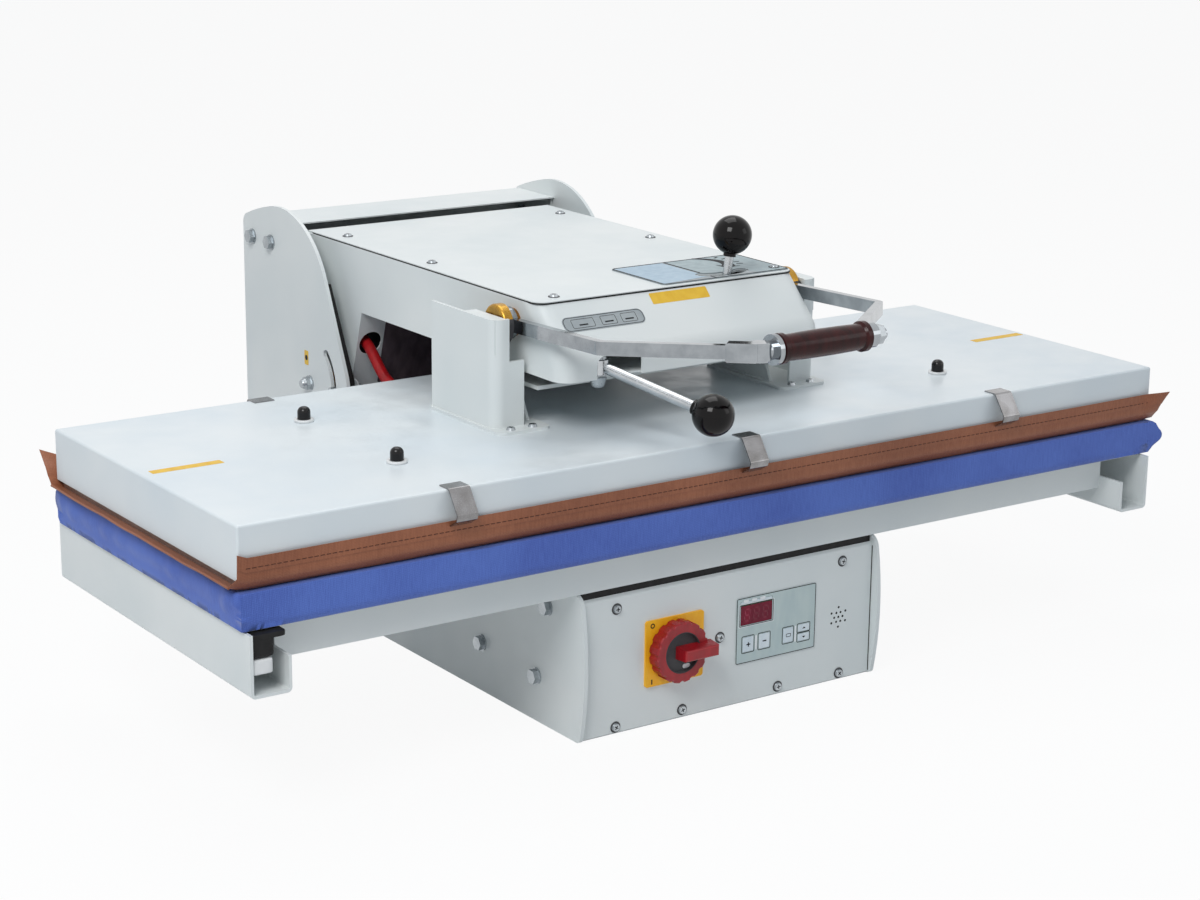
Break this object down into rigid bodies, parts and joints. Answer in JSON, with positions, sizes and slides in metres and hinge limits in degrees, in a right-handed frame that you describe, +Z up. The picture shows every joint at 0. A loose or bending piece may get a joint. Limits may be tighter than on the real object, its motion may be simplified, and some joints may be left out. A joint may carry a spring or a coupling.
{
  "type": "flatbed fusing press",
  "caption": "Hand-operated flatbed fusing press: padded bed on a control box, heated platen on a lifting arm, bail handle with turned grip, ball levers and keypad panel.",
  "frame": {"origin": "underside of the control box, below the middle of the platen", "axes": "+X to the right along the bed, -Y to the front with the control panel and the grip, +Z up"},
  "size_m": [1.132, 0.8184, 0.468],
  "materials": {
    "paint": "satin",
    "zinc": "satin",
    "steel": "satin",
    "chrome": "polished",
    "brass": "polished",
    "bronze": "satin",
    "aluminium": "machined",
    "black_cap": "gloss",
    "black_paint": "satin",
    "black_nylon": "matt",
    "bakelite": "gloss",
    "red_plastic": "satin",
    "yellow_plastic": "satin",
    "overlay": "matt",
    "key": "matt",
    "board": "satin",
    "switch_body": "matt",
    "sponge": "matt",
    "blue_cloth": "woven",
    "release_cloth": "smooth coated",
    "red_cable": "matt"
  },
  "bodies": {
    "base": {"left_side_plate": "paint", "right_side_plate": "paint", "column_hood": "paint", "hex_bolts": "zinc", "panel_screws": "zinc", "front_panel": "paint", "bottom_tray": "paint", "front_rail": "paint", "rear_rail": "paint", "left_leg_channel": "paint", "right_leg_channel": "paint", "bed_plate": "steel", "foam_pad": "sponge", "pad_cover": "blue_cloth", "switch_plate": "yellow_plastic", "switch_body": "switch_body", "control_board": "board", "key_overlay": "overlay", "mains_gland": "black_nylon", "pivot_shaft": "steel", "pivot_nuts": "zinc"},
    "arm": {"arm_housing": "paint", "arm_top_cover": "paint", "cover_screws": "zinc", "arm_frame": "black_paint", "arm_bushes": "bronze", "stop_pins": "zinc", "scale_plate": "aluminium", "lever_bolt": "zinc"},
    "bail": {"cross_shaft": "steel", "bail_hubs": "brass", "left_bail_bar": "chrome", "right_bail_bar": "chrome", "eye_bolt": "chrome", "grip_nut": "zinc"},
    "grip": {"bail_grip": "bakelite"},
    "release_lever": {"release_rod": "chrome", "release_ball": "black_cap"},
    "pressure_lever": {"pressure_rod": "chrome", "pressure_ball": "black_cap"},
    "platen": {"platen_cover": "paint", "heating_plate": "aluminium", "heating_elements": "steel", "left_bracket": "paint", "right_bracket": "paint", "yoke_plate": "paint", "bracket_screws": "zinc", "cap_nuts": "black_cap", "sheet_clips": "chrome", "release_sheet": "release_cloth", "heater_cable": "red_cable", "cable_gland": "black_nylon"},
    "switch": {"switch_knob": "red_plastic"},
    "plus_key": {"key_plus": "key"},
    "minus_key": {"key_minus": "key"},
    "set_key": {"key_set": "key"},
    "up_key": {"key_up": "key"},
    "down_key": {"key_down": "key"},
    "gas_tubes": {"gas_cylinders": "black_paint"},
    "gas_pistons": {"gas_rods": "chrome"}
  },
  "joints": [
    {"name": "arm_lift", "type": "hinge", "parent": "base", "child": "arm", "pos_m": [0, 0.354, 0.248], "axis": [-1, 0, 0], "range_deg": [0, 42]},
    {"name": "bail_swing", "type": "hinge", "parent": "arm", "child": "bail", "pos_m": [0, -0.02, 0.383], "axis": [-1, 0, 0], "range_deg": [0, 75]},
    {"name": "grip_spin", "type": "hinge", "parent": "bail", "child": "grip", "pos_m": [0.0085, -0.2848, 0.39317], "axis": [1, 0, 0], "continuous": true},
    {"name": "platen_press", "type": "slide", "parent": "arm", "child": "platen", "axis": [0, 0, 1], "range_m": [0, 0.0045]},
    {"name": "release_swing", "type": "hinge", "parent": "arm", "child": "release_lever", "pos_m": [-0.11, -0.093, 0.348], "axis": [0, 0, 1], "range_deg": [0, 38]},
    {"name": "pressure_swing", "type": "hinge", "parent": "arm", "child": "pressure_lever", "pos_m": [0.084, 0.01, 0.398], "axis": [0, 0, 1], "range_deg": [-28, 28]},
    {"name": "switch_turn", "type": "hinge", "parent": "base", "child": "switch", "pos_m": [-0.0715, -0.18, 0.075], "axis": [0, -1, 0], "range_deg": [0, 90]},
    {"name": "plus_press", "type": "slide", "parent": "base", "child": "plus_key", "axis": [0, 1, 0], "range_m": [0, 0.0006], "stiffness_N_per_m": 800},
    {"name": "minus_press", "type": "slide", "parent": "base", "child": "minus_key", "axis": [0, 1, 0], "range_m": [0, 0.0006], "stiffness_N_per_m": 800},
    {"name": "set_press", "type": "slide", "parent": "base", "child": "set_key", "axis": [0, 1, 0], "range_m": [0, 0.0006], "stiffness_N_per_m": 800},
    {"name": "up_press", "type": "slide", "parent": "base", "child": "up_key", "axis": [0, 1, 0], "range_m": [0, 0.0006], "stiffness_N_per_m": 800},
    {"name": "down_press", "type": "slide", "parent": "base", "child": "down_key", "axis": [0, 1, 0], "range_m": [0, 0.0006], "stiffness_N_per_m": 800},
    {"name": "gas_tilt", "type": "hinge", "parent": "base", "child": "gas_tubes", "pos_m": [0, 0.30732, 0.04], "axis": [1, 0, 0], "range_deg": [0, 0.7]},
    {"name": "gas_slide", "type": "slide", "parent": "gas_tubes", "child": "gas_pistons", "axis": [0, 0, 1], "range_m": [0, 0.036]}
  ],
  "couplings": [
    {"joint": "platen_press", "follows": "bail_swing", "m_per_rad": 0.003361},
    {"joint": "gas_tilt", "follows": "arm_lift", "ratio": 0.0138},
    {"joint": "gas_slide", "follows": "arm_lift", "m_per_rad": 0.048892}
  ]
}
